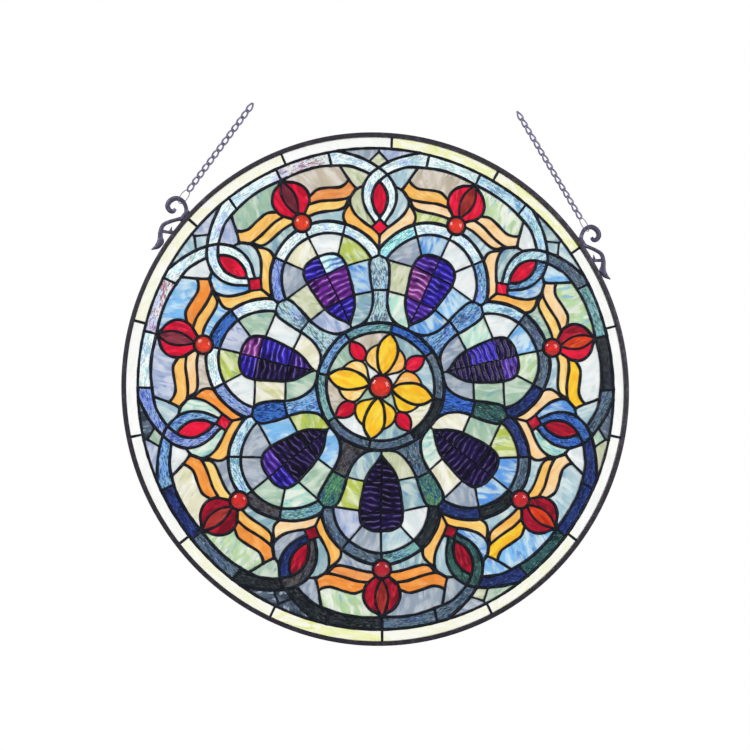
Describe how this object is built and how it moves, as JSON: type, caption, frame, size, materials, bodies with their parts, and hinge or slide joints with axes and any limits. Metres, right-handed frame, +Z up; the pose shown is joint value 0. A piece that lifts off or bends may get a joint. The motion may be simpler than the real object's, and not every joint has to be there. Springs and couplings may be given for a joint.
{
  "type": "stained glass panel",
  "caption": "Round leaded stained glass panel with a floral rosette of medallions, tulips and buds in a dark metal rim, hung by short chains on scroll hooks.",
  "frame": {"origin": "Level with the tops of the two chains' last links, above the middle of the panel, on the middle of the glass in depth.", "axes": "X to the right seen from the front, Y into the wall with the front facing -Y, Z up."},
  "size_m": [0.61, 0.0096, 0.642],
  "materials": {
    "rim": "black patina, satin",
    "lead": "black patina on solder, softly shiny",
    "hook": "dark bronze patina, satin",
    "chain": "dull steel wire",
    "border_glass": "coloured art glass, glossy",
    "arch_field_glass": "coloured art glass, glossy",
    "spandrel_glass": "coloured art glass, glossy",
    "bud_glass": "coloured art glass, glossy",
    "teardrop_glass": "coloured art glass, glossy",
    "medallion_glass": "coloured art glass, glossy",
    "centre_glass": "coloured art glass, glossy",
    "jewel": "coloured art glass, glossy"
  },
  "bodies": {
    "root": {"rim": "rim", "lead_lines": "lead", "border_glass_1": "border_glass", "arch_field_glass_1": "arch_field_glass", "spandrel_glass_1": "spandrel_glass", "bud_glass_1": "bud_glass", "teardrop_glass_1": "teardrop_glass", "jewel_1": "jewel", "border_glass_2": "border_glass", "arch_field_glass_2": "arch_field_glass", "spandrel_glass_2": "spandrel_glass", "bud_glass_2": "bud_glass", "teardrop_glass_2": "teardrop_glass", "jewel_2": "jewel", "border_glass_3": "border_glass", "arch_field_glass_3": "arch_field_glass", "spandrel_glass_3": "spandrel_glass", "bud_glass_3": "bud_glass", "teardrop_glass_3": "teardrop_glass", "jewel_3": "jewel", "border_glass_4": "border_glass", "arch_field_glass_4": "arch_field_glass", "spandrel_glass_4": "spandrel_glass", "bud_glass_4": "bud_glass", "teardrop_glass_4": "teardrop_glass", "jewel_4": "jewel", "border_glass_5": "border_glass", "arch_field_glass_5": "arch_field_glass", "spandrel_glass_5": "spandrel_glass", "bud_glass_5": "bud_glass", "teardrop_glass_5": "teardrop_glass", "jewel_5": "jewel", "border_glass_6": "border_glass", "arch_field_glass_6": "arch_field_glass", "spandrel_glass_6": "spandrel_glass", "bud_glass_6": "bud_glass", "teardrop_glass_6": "teardrop_glass", "jewel_6": "jewel", "border_glass_7": "border_glass", "arch_field_glass_7": "arch_field_glass", "spandrel_glass_7": "spandrel_glass", "bud_glass_7": "bud_glass", "teardrop_glass_7": "teardrop_glass", "jewel_7": "jewel", "medallion_glass": "medallion_glass", "centre_glass": "centre_glass", "centre_jewel": "jewel", "hook_left": "hook", "hook_right": "hook", "chain_left": "chain", "chain_right": "chain"}
  },
  "joints": []
}
